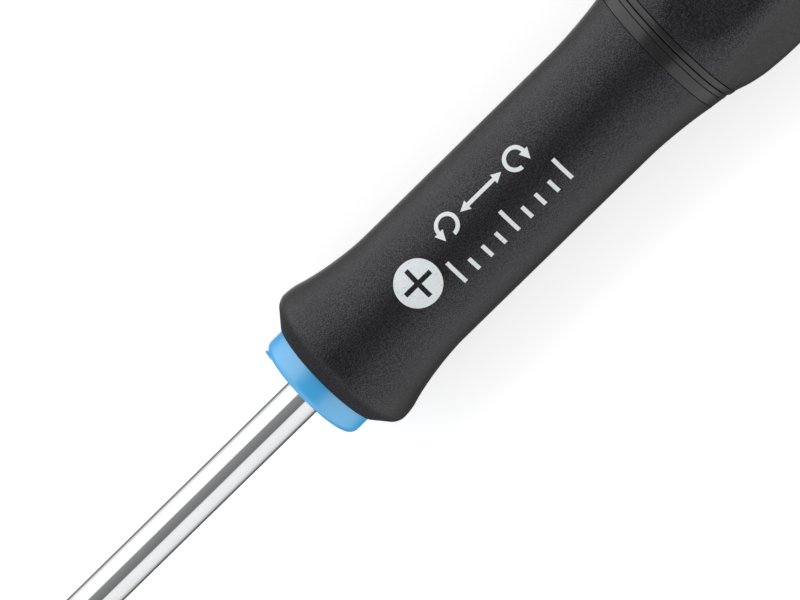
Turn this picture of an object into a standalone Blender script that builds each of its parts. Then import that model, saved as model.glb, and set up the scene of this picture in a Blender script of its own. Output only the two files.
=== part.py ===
# A watchmaker's screwdriver lying on its side: size 0 cross tip on a long round blade, soft grip on a
# hard core, and a fingertip cap that spins freely on a miniature thrust ball bearing.
# Metres, +Z up. The blade points to -X and the cap to +X. The origin is below the middle of the tool,
# on the surface that the guard and one flat of the cap rest on.
# Stations are distances along the tool's axis from the grip's front face, growing towards the cap.

import math

import bmesh
import bpy
from mathutils import Matrix, Vector
from mathutils.geometry import interpolate_bezier

MM = 0.001

# Clearances between neighbouring pieces.
FIT_GAP = 0.15 * MM  # around pieces that are pressed or moulded into each other
SEAT_GAP = 0.15 * MM  # between faces that bear on each other
RUNNING_GAP = 0.1 * MM  # around pieces that turn in the bearing

# Blade.
SHANK_RADIUS = 2.0 * MM
BLADE_REACH = 75.0 * MM  # bare blade, from the tip to the ring
TANG_LENGTH = 24.0 * MM  # hidden blade, behind the grip's front face
TANG_CHAMFER = 0.5 * MM
WING_START = 10.0 * MM  # the pressed wings that stop the blade from turning in the core
WING_LENGTH = 8.0 * MM
WING_SPAN = 5.8 * MM
WING_THICKNESS = 1.4 * MM
POINT_RADIUS = 0.4 * MM
POINT_LENGTH = 1.8 * MM
POINT_SLOPE = math.radians(26.5)
TAPER_LENGTH = 11.0 * MM  # from the tip to the full shank
FLUTE_ROOT = 0.24 * MM  # how close the four flutes come to the axis at the tip
FLUTE_LENGTH = 7.0 * MM
TICK_REACH = 0.42 * MM  # the four small ribs between the wings of the tip
TICK_THICKNESS = 0.14 * MM
TICK_LENGTH = 1.6 * MM

# Colour ring in front of the grip.
RING_STEP = 0.8 * MM  # how far the ring's flange stands out of the core's nose
RING_EXPOSED = 2.6 * MM
RING_CORNER = 1.0 * MM
RING_SPIGOT_LENGTH = 3.5 * MM

# Soft grip and hard core.
GRIP_LENGTH = 45.0 * MM
GRIP_LIP = 0.15 * MM  # how far the grip's front edge stands out of the ring
WAIST_RADIUS = 6.92 * MM
GUARD_RISE = 1.43 * MM  # above the waist
GUARD_START = 2.4 * MM
GUARD_WIDTH = 0.5 * MM
GUARD_FALL = 11.1 * MM  # from the guard down to the waist
FLARE_RISE = 0.73 * MM  # above the waist, at the seam behind the grip
FLARE_LENGTH = 10.0 * MM
GRIP_WALL = 1.72 * MM  # soft layer over the core, at the waist
RIB_HEIGHT = 0.7 * MM
RIB_WIDTH = 1.3 * MM
RIB_MARGIN = 4.0 * MM  # bare core at each end of the ribs
NOSE_WALL = 0.75 * MM  # the core around the ring's spigot
BAND_WIDTH = 1.0 * MM  # the core's smooth band behind the grip
BAND_RISE = 0.15 * MM  # how much each band grows over its own width
NECK_WALL = 0.85 * MM  # the core around the lower race
NECK_LENGTH = 1.5 * MM

# Slide ring between core and cap.
SLIDE_THICKNESS = 0.35 * MM
SLIDE_RISE = 0.05 * MM

# Thrust bearing, 3 x 8 x 3.5 mm.
BALL_COUNT = 7
BALL_RADIUS = 0.79 * MM
BEARING_RADIUS = 4.0 * MM
BEARING_BORE = 1.55 * MM
BEARING_HEIGHT = 3.5 * MM
RACE_THICKNESS = 1.15 * MM
CAGE_THICKNESS = 0.7 * MM
CAGE_MARGIN = 0.15 * MM  # inside the races' bore and rim
SEAT_DEPTH = 0.7 * MM  # how deep the lower race sits in the neck

# Pivot pin and its fasteners.
PIN_GRIP = 12.0 * MM  # length held in the core
PIN_TAIL = 1.0 * MM  # length behind the clip
PIN_CHAMFER = 0.3 * MM
GROOVE_DEPTH = 0.35 * MM
WASHER_RADIUS = 2.9 * MM
WASHER_THICKNESS = 0.5 * MM
CLIP_RADIUS = 2.5 * MM
CLIP_THICKNESS = 0.4 * MM
CLIP_MOUTH = math.radians(70.0)

# Fingertip cap.
CAP_LENGTH = 21.0 * MM
CAP_GAP = 0.3 * MM  # the open groove in front of the cap
CAP_FLANGE_STEP = 0.15 * MM  # above the core's band
CAP_FLANGE_WIDTH = 0.6 * MM
CAP_EDGE_RISE = 0.85 * MM  # how far the rounded edges stand out of the flats' own distance
CAP_SWELL = 8.0 * MM
CAP_END_ROUND = 2.2 * MM
CAP_NECK_ROOM = 0.4 * MM  # around the core's neck
CAP_WALL = 0.8 * MM  # the shell around the neck
CAP_POCKET_ROOM = 0.4 * MM  # around the washer
CAP_WEB = 1.9 * MM  # the wall that the bearing and the washer sit on
DISC_RIM = 0.9 * MM  # the shell around the disc
DISC_CHAMFER = 0.15 * MM
DISC_THICKNESS = 1.3 * MM
DISC_RECESS = 0.35 * MM  # how far the disc lies inside the sleeve's end
DISC_PLUG_LENGTH = 2.5 * MM

# Facets of the turned pieces.
WIDE_SEGMENTS = 36
NARROW_SEGMENTS = 24

# Sizes that follow from others.
GUARD_RADIUS = WAIST_RADIUS + GUARD_RISE
SEAM_RADIUS = WAIST_RADIUS + FLARE_RISE
BAND_RADIUS = SEAM_RADIUS + BAND_RISE
CORE_RADIUS = WAIST_RADIUS - GRIP_WALL
RING_RADIUS = CORE_RADIUS + RING_STEP
RING_SPIGOT_RADIUS = CORE_RADIUS - NOSE_WALL - FIT_GAP
NECK_RADIUS = BEARING_RADIUS + FIT_GAP + NECK_WALL
PITCH_RADIUS = (BEARING_BORE + BEARING_RADIUS) / 2
CAGE_ROOM = BALL_RADIUS + RUNNING_GAP  # radius of the pockets and of the races' grooves
PIN_RADIUS = BEARING_BORE - RUNNING_GAP
CAP_FLANGE_RADIUS = BAND_RADIUS + CAP_FLANGE_STEP
CAP_FRONT_RADIUS = CAP_FLANGE_RADIUS + BAND_RISE
CAP_GREATEST_RADIUS = GUARD_RADIUS + CAP_EDGE_RISE
CAP_BODY_RADIUS = NECK_RADIUS + CAP_NECK_ROOM + CAP_WALL
CAP_POCKET_RADIUS = WASHER_RADIUS + CAP_POCKET_ROOM
DISC_RADIUS = CAP_BODY_RADIUS - DISC_RIM
AXIS_HEIGHT = GUARD_RADIUS

# Places that follow from the sizes.
TIP_STATION = -(RING_EXPOSED + BLADE_REACH)
GUARD_END = GUARD_START + GUARD_WIDTH
BAND_STATION = GRIP_LENGTH + SEAT_GAP
NECK_STATION = BAND_STATION + BAND_WIDTH
SLIDE_STATION = NECK_STATION + SEAT_GAP
CAP_STATION = SLIDE_STATION + SLIDE_THICKNESS + CAP_GAP
NECK_END = NECK_STATION + NECK_LENGTH
RACE_STATION = NECK_END - SEAT_DEPTH + SEAT_GAP
BALL_STATION = RACE_STATION + BEARING_HEIGHT / 2
BEARING_END = RACE_STATION + BEARING_HEIGHT
WEB_STATION = BEARING_END + SEAT_GAP
WEB_END = WEB_STATION + CAP_WEB
WASHER_STATION = WEB_END + SEAT_GAP
CLIP_STATION = WASHER_STATION + WASHER_THICKNESS + SEAT_GAP
PIN_STATION = NECK_END - SEAT_DEPTH - PIN_GRIP
PIN_LENGTH = CLIP_STATION + CLIP_THICKNESS + PIN_TAIL - PIN_STATION
CAP_END = CAP_STATION + CAP_LENGTH
DISC_STATION = CAP_END - DISC_RECESS - DISC_THICKNESS
SLEEVE_STATION = CAP_STATION + CAP_FLANGE_WIDTH + SEAT_GAP
MIDDLE = (TIP_STATION + CAP_END) / 2


def finish(name, colour, roughness, metallic):
    # One material: colour is red, green and blue from 0 to 1.
    material = bpy.data.materials.new(name)
    material.use_nodes = True
    shader = material.node_tree.nodes["Principled BSDF"]
    shader.inputs["Base Color"].default_value = (*colour, 1.0)
    shader.inputs["Roughness"].default_value = roughness
    shader.inputs["Metallic"].default_value = metallic
    material.diffuse_color = (*colour, 1.0)
    return material


def empty(name, station, parent):
    # A marker on the tool's axis.
    marker = bpy.data.objects.new(name, None)
    marker.empty_display_size = 5 * MM
    bpy.context.scene.collection.objects.link(marker)
    marker.parent = parent
    marker.location = (station, 0.0, 0.0)
    return marker


def place(bm, name, station, parent, material, origin=0.0):
    # Makes an object of the mesh and puts it at its station. Origin is the station of the parent.
    mesh = bpy.data.meshes.new(name)
    bm.to_mesh(mesh)
    bm.free()
    mesh.shade_smooth()
    mesh.set_sharp_from_angle(angle=math.radians(30.0))
    mesh.materials.append(material)
    piece = bpy.data.objects.new(name, mesh)
    bpy.context.scene.collection.objects.link(piece)
    piece.parent = parent
    piece.location = (station - origin, 0.0, 0.0)
    return piece


def turned(outline, segments):
    # Spins an outline of (along, radius) points about X. One that starts and ends on the axis is left
    # open there, and any other is joined up into a ring.
    bm = bmesh.new()
    points = [bm.verts.new((along, 0.0, radius)) for along, radius in outline]
    edges = [bm.edges.new(pair) for pair in zip(points, points[1:])]
    if outline[0][1] > 0.0:
        edges.append(bm.edges.new((points[-1], points[0])))
    bmesh.ops.spin(
        bm,
        geom=points + edges,
        cent=(0.0, 0.0, 0.0),
        axis=(1.0, 0.0, 0.0),
        angle=math.tau,
        steps=segments,
        use_merge=True,
    )
    bmesh.ops.remove_doubles(bm, verts=bm.verts, dist=0.0001 * MM)
    bmesh.ops.recalc_face_normals(bm, faces=bm.faces)
    return bm


def arc(along, radius, size, start, end, steps):
    # Points on an arc round (along, radius). Angles are in degrees: 0 is outwards, 90 towards +X.
    angles = [math.radians(start + (end - start) * step / steps) for step in range(steps + 1)]
    return [(along + size * math.sin(a), radius + size * math.cos(a)) for a in angles]


def curve(start, start_handle, end_handle, end, steps):
    # Points on a smooth outline between two ends, without its first point.
    ends = [Vector((*point, 0.0)) for point in (start, start_handle, end_handle, end)]
    return [(point.x, point.y) for point in interpolate_bezier(*ends, steps + 1)[1:]]


def block(bm, low, high, turn=0.0):
    # A box between two corners, turned about X.
    size = Vector(high) - Vector(low)
    middle = (Vector(high) + Vector(low)) / 2
    matrix = Matrix.Rotation(turn, 4, "X") @ Matrix.Translation(middle) @ Matrix.Diagonal((*size, 1.0))
    bmesh.ops.create_cube(bm, size=1.0, matrix=matrix)


def combine(piece, bm, operation, name):
    # Cuts, joins or keeps what a helper shape covers. The helper is in the piece's own frame.
    mesh = bpy.data.meshes.new(name)
    bm.to_mesh(mesh)
    bm.free()
    helper = bpy.data.objects.new(name, mesh)
    bpy.context.scene.collection.objects.link(helper)
    helper.parent = piece
    helper.hide_render = True
    helper.display_type = "WIRE"
    modifier = piece.modifiers.new(name, "BOOLEAN")
    modifier.operation = operation
    modifier.solver = "EXACT"
    modifier.object = helper


def crossed_ribs(radius, start, end, extra=0.0):
    # Two crossed bars through the axis, whose ends stand out of a round body as four ribs.
    bm = bmesh.new()
    reach = radius + RIB_HEIGHT + extra
    half = RIB_WIDTH / 2 + extra
    for turn in (0.0, math.pi / 2):
        block(bm, (start, -reach, -half), (end, reach, half), turn)
    return bm


def rib_blocks(radius, start, end):
    # The four ribs themselves, each sunk a little into a body of the given radius.
    bm = bmesh.new()
    root = radius - RIB_HEIGHT
    for number in range(4):
        low = (start, -RIB_WIDTH / 2, root)
        high = (end, RIB_WIDTH / 2, radius + RIB_HEIGHT)
        block(bm, low, high, number * math.pi / 2)
    return bm


def flutes():
    # Four square bars, edge towards the axis, that lean outwards away from the tip.
    bm = bmesh.new()
    side = 2.5 * SHANK_RADIUS
    lean = math.atan2(SHANK_RADIUS - FLUTE_ROOT, FLUTE_LENGTH)
    for number in range(4):
        bar = Matrix.Translation((0.0, 0.0, side / math.sqrt(2))) @ Matrix.Rotation(math.pi / 4, 4, "X")
        stretch = Matrix.Diagonal((4 * FLUTE_LENGTH, side, side, 1.0))
        raised = Matrix.Translation((0.0, 0.0, FLUTE_ROOT)) @ Matrix.Rotation(-lean, 4, "Y")
        turn = Matrix.Rotation(math.pi / 4 + number * math.pi / 2, 4, "X")
        bmesh.ops.create_cube(bm, size=1.0, matrix=turn @ raised @ bar @ stretch)
    return bm


def ticks():
    # Two thin crossed plates: the small ribs that lie between the wings of the tip.
    bm = bmesh.new()
    half = TICK_THICKNESS / 2
    start = POINT_LENGTH / 20
    for number in range(2):
        turn = math.pi / 4 + number * math.pi / 2
        block(bm, (start, -half, -TICK_REACH), (TICK_LENGTH, half, TICK_REACH), turn)
    return bm


def blade_wings(extra=0.0):
    # The two flat wings of the tang, in stations.
    bm = bmesh.new()
    low = (WING_START - extra, -WING_SPAN / 2 - extra, -WING_THICKNESS / 2 - extra)
    high = (WING_START + WING_LENGTH + extra, WING_SPAN / 2 + extra, WING_THICKNESS / 2 + extra)
    block(bm, low, high)
    return bm


def blade(parent, material):
    # Steel blade from the tip's flat point to the chamfered tang.
    end = TANG_LENGTH - TIP_STATION
    outline = [
        (0.0, 0.0),
        (0.0, POINT_RADIUS),
        (POINT_LENGTH, POINT_RADIUS + POINT_LENGTH * math.tan(POINT_SLOPE)),
        (TAPER_LENGTH, SHANK_RADIUS),
        (end - TANG_CHAMFER, SHANK_RADIUS),
        (end, SHANK_RADIUS - TANG_CHAMFER),
        (end, 0.0),
    ]
    piece = place(turned(outline, NARROW_SEGMENTS), "blade", TIP_STATION, parent, material)
    wings = blade_wings()
    bmesh.ops.translate(wings, verts=wings.verts, vec=(-TIP_STATION, 0.0, 0.0))
    combine(piece, wings, "UNION", "blade_wing_shape")
    combine(piece, flutes(), "DIFFERENCE", "blade_flute_cutter")
    combine(piece, ticks(), "UNION", "blade_tick_shape")
    return piece


def id_ring(parent, material):
    # Colour ring with a rounded front corner, and a spigot that pushes into the core.
    bore = SHANK_RADIUS + FIT_GAP
    back = RING_EXPOSED - SEAT_GAP
    outline = [(0.0, bore)]
    outline += arc(RING_CORNER, RING_RADIUS - RING_CORNER, RING_CORNER, -90.0, 0.0, 4)
    outline += [
        (back, RING_RADIUS),
        (back, RING_SPIGOT_RADIUS),
        (RING_EXPOSED + RING_SPIGOT_LENGTH, RING_SPIGOT_RADIUS),
        (RING_EXPOSED + RING_SPIGOT_LENGTH, bore),
    ]
    return place(turned(outline, WIDE_SEGMENTS), "id_ring", -RING_EXPOSED, parent, material)


def handle_core(parent, material):
    # Hard core: blind bores for the tang and the pin, ribs under the grip, band and neck behind it.
    tang = SHANK_RADIUS + FIT_GAP
    spigot = RING_SPIGOT_RADIUS + FIT_GAP
    spigot_end = RING_SPIGOT_LENGTH + SEAT_GAP
    pin = PIN_RADIUS + FIT_GAP
    seat = BEARING_RADIUS + FIT_GAP
    outline = [
        (TANG_LENGTH + SEAT_GAP, 0.0),
        (TANG_LENGTH + SEAT_GAP, tang),
        (spigot_end, tang),
        (spigot_end, spigot),
        (0.0, spigot),
        (0.0, CORE_RADIUS),
        (BAND_STATION, CORE_RADIUS),
        (BAND_STATION, SEAM_RADIUS),
        (NECK_STATION, BAND_RADIUS),
        (NECK_STATION, NECK_RADIUS),
        (NECK_END, NECK_RADIUS),
        (NECK_END, seat),
        (NECK_END - SEAT_DEPTH, seat),
        (NECK_END - SEAT_DEPTH, pin),
        (PIN_STATION - SEAT_GAP, pin),
        (PIN_STATION - SEAT_GAP, 0.0),
    ]
    piece = place(turned(outline, WIDE_SEGMENTS), "handle_core", 0.0, parent, material)
    ribs = rib_blocks(CORE_RADIUS, RIB_MARGIN, GRIP_LENGTH - RIB_MARGIN)
    combine(piece, ribs, "UNION", "core_rib_shape")
    combine(piece, blade_wings(FIT_GAP), "DIFFERENCE", "core_wing_cutter")
    return piece


def grip_sleeve(parent, material):
    # Soft grip: a rounded guard at the front, a straight waist, and a flare that meets the cap.
    bore = CORE_RADIUS + FIT_GAP
    front = RING_RADIUS + GRIP_LIP
    rise = GUARD_RADIUS - front
    steps = 5
    outline = [
        (GUARD_START * step / steps, front + rise * math.sin(math.pi / 2 * step / steps))
        for step in range(steps + 1)
    ]
    waist = GUARD_END + GUARD_FALL
    flare = GRIP_LENGTH - FLARE_LENGTH
    outline.append((GUARD_END, GUARD_RADIUS))
    outline += curve(
        (GUARD_END, GUARD_RADIUS),
        (GUARD_END + 0.17 * GUARD_FALL, GUARD_RADIUS),
        (GUARD_END + 0.26 * GUARD_FALL, WAIST_RADIUS),
        (waist, WAIST_RADIUS),
        8,
    )
    outline.append((flare, WAIST_RADIUS))
    outline += curve(
        (flare, WAIST_RADIUS),
        (flare + 0.5 * FLARE_LENGTH, WAIST_RADIUS),
        (flare + 0.75 * FLARE_LENGTH, WAIST_RADIUS + 0.45 * FLARE_RISE),
        (GRIP_LENGTH, SEAM_RADIUS),
        5,
    )
    outline += [(GRIP_LENGTH, bore), (0.0, bore)]
    piece = place(turned(outline, WIDE_SEGMENTS), "grip_sleeve", 0.0, parent, material)
    start = RIB_MARGIN - FIT_GAP
    end = GRIP_LENGTH - RIB_MARGIN + FIT_GAP
    combine(piece, crossed_ribs(CORE_RADIUS, start, end, FIT_GAP), "DIFFERENCE", "grip_keyway_cutter")
    return piece


def slide_ring(parent, material):
    # Thin washer that keeps dust out of the joint and that the cap can rub on.
    bore = NECK_RADIUS + FIT_GAP
    rim = BAND_RADIUS + SLIDE_RISE
    outline = [(0.0, bore), (0.0, rim), (SLIDE_THICKNESS, rim), (SLIDE_THICKNESS, bore)]
    return place(turned(outline, WIDE_SEGMENTS), "slide_ring", SLIDE_STATION, parent, material)


def pivot_pin(parent, material):
    # Steel pin pressed into the core, with a groove for the clip near its tail.
    groove = CLIP_STATION - SEAT_GAP - PIN_STATION
    groove_end = groove + CLIP_THICKNESS + 2 * SEAT_GAP
    outline = [
        (0.0, 0.0),
        (0.0, PIN_RADIUS - PIN_CHAMFER),
        (PIN_CHAMFER, PIN_RADIUS),
        (groove, PIN_RADIUS),
        (groove, PIN_RADIUS - GROOVE_DEPTH),
        (groove_end, PIN_RADIUS - GROOVE_DEPTH),
        (groove_end, PIN_RADIUS),
        (PIN_LENGTH - PIN_CHAMFER, PIN_RADIUS),
        (PIN_LENGTH, PIN_RADIUS - PIN_CHAMFER),
        (PIN_LENGTH, 0.0),
    ]
    return place(turned(outline, NARROW_SEGMENTS), "pivot_pin", PIN_STATION, parent, material)


def race_outline(bore):
    # A race whose ball groove faces +X. Its flat back is at 0.
    centre = BEARING_HEIGHT / 2
    half = math.degrees(math.acos((centre - RACE_THICKNESS) / CAGE_ROOM))
    outline = [(0.0, bore), (0.0, BEARING_RADIUS), (RACE_THICKNESS, BEARING_RADIUS)]
    outline += arc(centre, PITCH_RADIUS, CAGE_ROOM, half - 90.0, -90.0 - half, 5)
    outline.append((RACE_THICKNESS, bore))
    return outline


def lower_race(parent, material):
    # Housing washer, at rest in the neck of the core.
    bm = turned(race_outline(BEARING_BORE), NARROW_SEGMENTS)
    return place(bm, "lower_race", RACE_STATION, parent, material)


def upper_race(parent, material):
    # Shaft washer, which turns with the cap: the lower race's outline turned to face -X.
    outline = [(BEARING_HEIGHT - along, radius) for along, radius in race_outline(BEARING_BORE)]
    bm = turned(outline, NARROW_SEGMENTS)
    return place(bm, "upper_race", RACE_STATION, parent, material, CAP_STATION)


def ball_cage(parent, material):
    # Flat ring with a round pocket for each ball.
    inner = BEARING_BORE + CAGE_MARGIN
    outer = BEARING_RADIUS - CAGE_MARGIN
    half = CAGE_THICKNESS / 2
    outline = [(-half, inner), (-half, outer), (half, outer), (half, inner)]
    piece = place(turned(outline, NARROW_SEGMENTS), "ball_cage", 0.0, parent, material)
    pockets = bmesh.new()
    for number in range(BALL_COUNT):
        turn = Matrix.Rotation(math.tau * number / BALL_COUNT, 4, "X")
        along = Matrix.Translation((0.0, 0.0, PITCH_RADIUS)) @ Matrix.Rotation(math.pi / 2, 4, "Y")
        bmesh.ops.create_cone(
            pockets,
            cap_ends=True,
            segments=16,
            radius1=CAGE_ROOM,
            radius2=CAGE_ROOM,
            depth=2 * CAGE_THICKNESS,
            matrix=turn @ along,
        )
    combine(piece, pockets, "DIFFERENCE", "cage_pocket_cutter")
    return piece


def balls(parent, material):
    # The steel balls share one mesh. Each is its own piece, evenly spaced on the pitch circle.
    bm = bmesh.new()
    bmesh.ops.create_uvsphere(bm, u_segments=14, v_segments=8, radius=BALL_RADIUS)
    first = place(bm, "ball_1", 0.0, parent, material)
    for number in range(BALL_COUNT):
        turn = math.tau * number / BALL_COUNT
        ball = first if number == 0 else bpy.data.objects.new(f"ball_{number + 1}", first.data)
        if number > 0:
            bpy.context.scene.collection.objects.link(ball)
            ball.parent = parent
        ball.location = (0.0, -PITCH_RADIUS * math.sin(turn), PITCH_RADIUS * math.cos(turn))


def cap_shell(parent, material):
    # Hard inner cap: flange, bearing housing, web for the pin, and a pocket closed by the disc.
    neck = NECK_RADIUS + CAP_NECK_ROOM
    housing = BEARING_RADIUS + FIT_GAP
    neck_end = NECK_END + CAP_NECK_ROOM - CAP_STATION
    disc_seat = DISC_STATION - SEAT_GAP - CAP_STATION
    end = CAP_LENGTH - DISC_RECESS
    outline = [
        (0.0, neck),
        (0.0, CAP_FLANGE_RADIUS),
        (CAP_FLANGE_WIDTH, CAP_FRONT_RADIUS),
        (CAP_FLANGE_WIDTH, CAP_BODY_RADIUS),
        (end, CAP_BODY_RADIUS),
        (end, DISC_RADIUS + FIT_GAP),
        (disc_seat, DISC_RADIUS + FIT_GAP),
        (disc_seat, CAP_POCKET_RADIUS),
        (WEB_END - CAP_STATION, CAP_POCKET_RADIUS),
        (WEB_END - CAP_STATION, BEARING_BORE),
        (WEB_STATION - CAP_STATION, BEARING_BORE),
        (WEB_STATION - CAP_STATION, housing),
        (neck_end, housing),
        (neck_end, neck),
    ]
    piece = place(turned(outline, WIDE_SEGMENTS), "cap_shell", CAP_STATION, parent, material, CAP_STATION)
    ribs = rib_blocks(CAP_BODY_RADIUS, CAP_FLANGE_WIDTH + RIB_MARGIN, CAP_LENGTH - RIB_MARGIN)
    combine(piece, ribs, "UNION", "cap_rib_shape")
    return piece


def cap_sleeve(parent, material):
    # Textured outer cap: round where it meets the handle, six-sided with rounded edges behind, so
    # that the tool lies still on a bench.
    bore = CAP_BODY_RADIUS + FIT_GAP
    length = CAP_END - SLEEVE_STATION
    swell = CAP_GREATEST_RADIUS - CAP_FRONT_RADIUS
    outline = [(0.0, CAP_FRONT_RADIUS)]
    outline += curve(
        (0.0, CAP_FRONT_RADIUS),
        (0.3 * CAP_SWELL, CAP_FRONT_RADIUS + 0.55 * swell),
        (0.6 * CAP_SWELL, CAP_GREATEST_RADIUS),
        (CAP_SWELL, CAP_GREATEST_RADIUS),
        6,
    )
    end_round = min(CAP_END_ROUND, 0.9 * (CAP_GREATEST_RADIUS - bore))
    outline += arc(length - end_round, CAP_GREATEST_RADIUS - end_round, end_round, 0.0, 90.0, 5)
    outline += [(length, bore), (0.0, bore)]
    bm = turned(outline, WIDE_SEGMENTS)
    piece = place(bm, "cap_sleeve", SLEEVE_STATION, parent, material, CAP_STATION)
    prism = bmesh.new()
    bmesh.ops.create_cone(
        prism,
        cap_ends=True,
        segments=6,
        radius1=AXIS_HEIGHT / math.cos(math.pi / 6),
        radius2=AXIS_HEIGHT / math.cos(math.pi / 6),
        depth=4 * CAP_LENGTH,
        matrix=Matrix.Rotation(math.pi / 2, 4, "Y"),
    )
    combine(piece, prism, "INTERSECT", "cap_flats_shape")
    start = CAP_FLANGE_WIDTH + RIB_MARGIN - FIT_GAP + CAP_STATION - SLEEVE_STATION
    end = CAP_LENGTH - RIB_MARGIN + FIT_GAP + CAP_STATION - SLEEVE_STATION
    keyways = crossed_ribs(CAP_BODY_RADIUS, start, end, FIT_GAP)
    combine(piece, keyways, "DIFFERENCE", "cap_keyway_cutter")
    return piece


def cap_disc(parent, material):
    # End disc, held by a plug in the cap's pocket.
    plug = CAP_POCKET_RADIUS - FIT_GAP
    outline = [
        (-DISC_PLUG_LENGTH, 0.0),
        (-DISC_PLUG_LENGTH, plug),
        (0.0, plug),
        (0.0, DISC_RADIUS),
        (DISC_THICKNESS - DISC_CHAMFER, DISC_RADIUS),
        (DISC_THICKNESS, DISC_RADIUS - DISC_CHAMFER),
        (DISC_THICKNESS, 0.0),
    ]
    bm = turned(outline, WIDE_SEGMENTS)
    return place(bm, "cap_disc", DISC_STATION, parent, material, CAP_STATION)


def thrust_washer(parent, material):
    # Plain washer between the cap's web and the clip.
    outline = [
        (0.0, BEARING_BORE),
        (0.0, WASHER_RADIUS),
        (WASHER_THICKNESS, WASHER_RADIUS),
        (WASHER_THICKNESS, BEARING_BORE),
    ]
    return place(turned(outline, NARROW_SEGMENTS), "thrust_washer", WASHER_STATION, parent, material)


def retaining_clip(parent, material):
    # Spring clip: a flat ring with an open mouth, sprung into the pin's groove.
    bore = PIN_RADIUS - GROOVE_DEPTH + FIT_GAP
    bm = bmesh.new()
    corners = [(0.0, bore), (0.0, CLIP_RADIUS), (CLIP_THICKNESS, CLIP_RADIUS), (CLIP_THICKNESS, bore)]
    section = bm.faces.new([bm.verts.new((along, 0.0, radius)) for along, radius in corners])
    bmesh.ops.spin(
        bm,
        geom=[section],
        cent=(0.0, 0.0, 0.0),
        axis=(1.0, 0.0, 0.0),
        angle=math.tau - CLIP_MOUTH,
        steps=20,
    )
    bmesh.ops.recalc_face_normals(bm, faces=bm.faces)
    return place(bm, "retaining_clip", CLIP_STATION, parent, material)


def build():
    for old in list(bpy.data.objects):
        bpy.data.objects.remove(old)
    steel = finish("polished_steel", (0.80, 0.81, 0.82), 0.12, 1.0)
    bearing_steel = finish("bearing_steel", (0.70, 0.71, 0.73), 0.2, 1.0)
    brass = finish("cage_brass", (0.74, 0.57, 0.28), 0.35, 1.0)
    blue = finish("light_blue_plastic", (0.10, 0.40, 0.75), 0.4, 0.0)
    hard_black = finish("hard_black_plastic", (0.016, 0.016, 0.018), 0.4, 0.0)
    soft_black = finish("soft_black_rubber", (0.018, 0.017, 0.019), 0.62, 0.0)
    grey = finish("grey_slide_plastic", (0.09, 0.09, 0.10), 0.35, 0.0)

    axis = empty("tool_axis", -MIDDLE, None)
    axis.location.z = AXIS_HEIGHT
    blade(axis, steel)
    id_ring(axis, blue)
    handle_core(axis, hard_black)
    grip_sleeve(axis, soft_black)
    slide_ring(axis, grey)
    pivot_pin(axis, steel)
    lower_race(axis, bearing_steel)
    thrust_washer(axis, steel)
    retaining_clip(axis, steel)

    ball_axis = empty("ball_train_axis", BALL_STATION, axis)
    ball_cage(ball_axis, brass)
    balls(ball_axis, bearing_steel)

    cap_axis = empty("cap_axis", CAP_STATION, axis)
    upper_race(cap_axis, bearing_steel)
    cap_shell(cap_axis, hard_black)
    cap_sleeve(cap_axis, soft_black)
    cap_disc(cap_axis, hard_black)


build()
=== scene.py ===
import math

import bmesh
import bpy
from mathutils import Matrix, Vector
from mathutils.bvhtree import BVHTree


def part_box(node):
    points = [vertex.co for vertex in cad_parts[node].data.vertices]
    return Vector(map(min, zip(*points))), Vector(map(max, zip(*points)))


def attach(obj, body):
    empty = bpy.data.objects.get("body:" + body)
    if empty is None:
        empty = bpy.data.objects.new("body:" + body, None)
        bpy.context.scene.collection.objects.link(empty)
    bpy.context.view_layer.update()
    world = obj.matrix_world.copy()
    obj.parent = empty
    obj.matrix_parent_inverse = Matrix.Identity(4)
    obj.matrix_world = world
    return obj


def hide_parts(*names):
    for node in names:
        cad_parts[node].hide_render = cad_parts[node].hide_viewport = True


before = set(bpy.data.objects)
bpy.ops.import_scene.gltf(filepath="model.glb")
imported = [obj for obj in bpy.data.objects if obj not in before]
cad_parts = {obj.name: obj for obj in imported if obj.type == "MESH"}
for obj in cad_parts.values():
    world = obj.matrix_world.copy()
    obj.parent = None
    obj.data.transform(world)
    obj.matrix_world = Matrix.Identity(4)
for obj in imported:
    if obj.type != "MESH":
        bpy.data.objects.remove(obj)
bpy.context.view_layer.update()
mm = 0.001


def span(node):
    # Front, back and radius of a round CAD node.
    low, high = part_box(node)
    return low.x, high.x, (high.z - low.z) / 2


# The tool lies along X. All its round pieces are turned about this line.
axisHeight = sum(corner.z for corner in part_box("id_ring")) / 2
gripFront, gripBack, guardRadius = span("grip_sleeve")
seatGap = 0.15 * mm  # between pieces that bear on each other
seamGap = 0.04 * mm  # a joint that shows as a fine line
fitGap = 0.15 * mm  # around pieces that are pressed or moulded together
weld = 0.0001 * mm  # points closer than this become one


def turnProfile(corners, steps=128, segments=8):
    # Turns a profile about the axis. A corner is (along, radius), with its rounding as a third value.
    bm = bmesh.new()
    points = [bm.verts.new((corner[0], 0.0, corner[1])) for corner in corners]
    for pair in zip(points, points[1:]):
        bm.edges.new(pair)
    if corners[0][1] > 0.0:
        bm.edges.new((points[-1], points[0]))
    for point, corner in zip(points, corners):
        if len(corner) > 2:
            bmesh.ops.bevel(
                bm,
                geom=[point],
                offset=corner[2],
                offset_type="OFFSET",
                affect="VERTICES",
                segments=segments,
                profile=0.5,
                material=-1,
            )
    bmesh.ops.spin(
        bm,
        geom=bm.verts[:] + bm.edges[:],
        cent=(0.0, 0.0, 0.0),
        axis=(1.0, 0.0, 0.0),
        angle=math.tau,
        steps=steps,
        use_merge=True,
    )
    bmesh.ops.remove_doubles(bm, verts=bm.verts, dist=weld)
    bmesh.ops.recalc_face_normals(bm, faces=bm.faces)
    bmesh.ops.translate(bm, verts=bm.verts, vec=(0.0, 0.0, axisHeight))
    return bm


def aroundAxis(angle):
    # A turn about the tool's axis, for shapes made with the axis at the origin.
    return Matrix.Translation((0.0, 0.0, axisHeight)) @ Matrix.Rotation(angle, 4, "X")


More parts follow.
